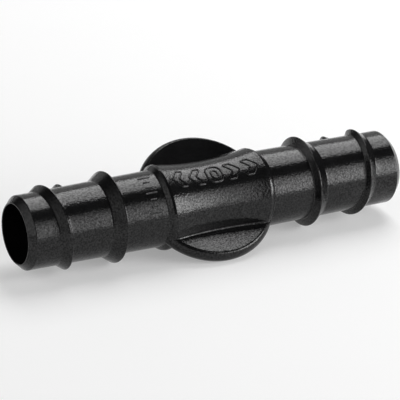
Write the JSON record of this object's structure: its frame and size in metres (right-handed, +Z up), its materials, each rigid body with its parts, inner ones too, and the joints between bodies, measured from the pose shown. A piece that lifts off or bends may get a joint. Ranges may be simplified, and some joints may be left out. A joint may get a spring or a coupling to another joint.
{
  "type": "hose mender",
  "caption": "Barbed straight coupler in black plastic that joins cut irrigation pipe ends, with a waisted barrel and a round grip disc.",
  "frame": {"origin": "centre of the bore, halfway between the mouths", "axes": "+X along the bore, +Z up with the part lying at rest on its ring barbs and the -Y edge of the grip disc"},
  "size_m": [0.0746, 0.021, 0.0164],
  "materials": {
    "black_plastic": "semi-gloss moulded ABS with a fine grain"
  },
  "bodies": {
    "root": {"mender_body": "black_plastic"}
  },
  "joints": []
}
